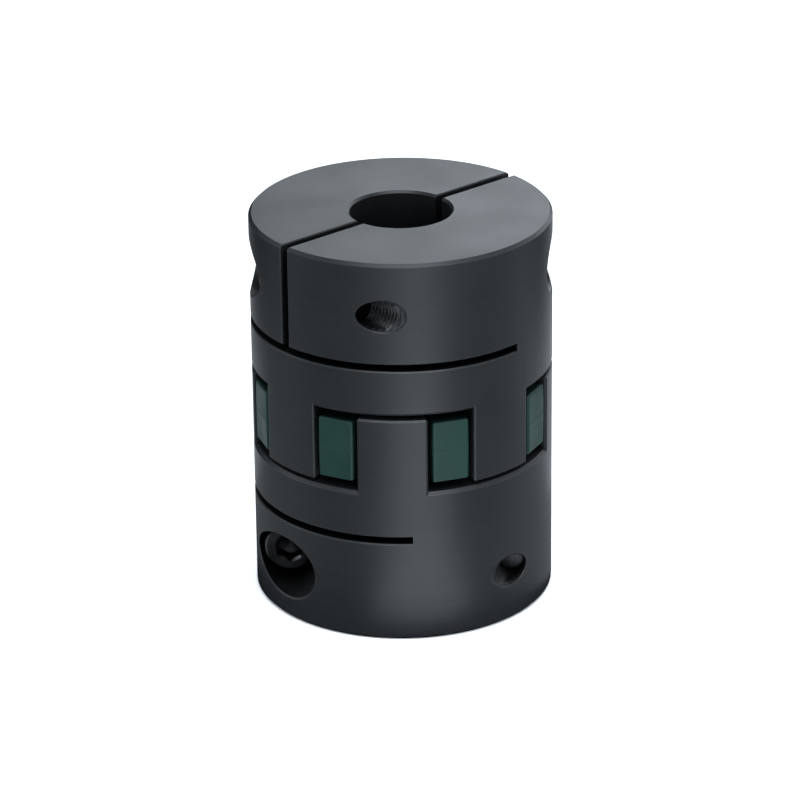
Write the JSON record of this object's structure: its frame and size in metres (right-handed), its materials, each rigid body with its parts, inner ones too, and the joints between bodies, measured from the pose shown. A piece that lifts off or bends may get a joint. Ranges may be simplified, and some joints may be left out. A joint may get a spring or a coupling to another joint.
{
  "type": "jaw coupling",
  "caption": "Flexible shaft coupling: slotted clamp hubs with interlocking jaws around an elastic star-shaped insert.",
  "frame": {"origin": "centre of the lower hub's end face, on the shaft axis; the part stands on this face", "axes": "+Z along the shaft axis from the lower hub to the upper one; the lower hub's axial slot lies along X, and its cross slot is cut from the -X side"},
  "size_m": [0.095, 0.095, 0.126],
  "materials": {
    "hub_alloy": "black anodised, fine turning marks, satin",
    "insert_elastomer": "moulded green polyurethane, satin",
    "screw_steel": "black oxide, lightly oiled"
  },
  "bodies": {
    "lower_hub": {"lower_hub": "hub_alloy"},
    "spider": {"spider": "insert_elastomer"},
    "upper_hub": {"upper_hub": "hub_alloy"},
    "lower_screw_1": {"lower_screw_1": "screw_steel"},
    "lower_screw_2": {"lower_screw_2": "screw_steel"},
    "upper_screw_1": {"upper_screw_1": "screw_steel"},
    "upper_screw_2": {"upper_screw_2": "screw_steel"}
  },
  "joints": [
    {"name": "spider_pull", "type": "slide", "parent": "lower_hub", "child": "spider", "axis": [0, 0, 1], "range_m": [0, 0.03]},
    {"name": "upper_hub_pull", "type": "slide", "parent": "spider", "child": "upper_hub", "axis": [0, 0, 1], "range_m": [0, 0.03]},
    {"name": "lower_screw_1_back_out", "type": "slide", "parent": "lower_hub", "child": "lower_screw_1", "axis": [0, -1, 0], "range_m": [0, 0.06]},
    {"name": "lower_screw_2_back_out", "type": "slide", "parent": "lower_hub", "child": "lower_screw_2", "axis": [0, 1, 0], "range_m": [0, 0.06]},
    {"name": "upper_screw_1_back_out", "type": "slide", "parent": "upper_hub", "child": "upper_screw_1", "axis": [-0.7071, 0.7071, 0], "range_m": [0, 0.06]},
    {"name": "upper_screw_2_back_out", "type": "slide", "parent": "upper_hub", "child": "upper_screw_2", "axis": [0.7071, -0.7071, 0], "range_m": [0, 0.06]}
  ]
}
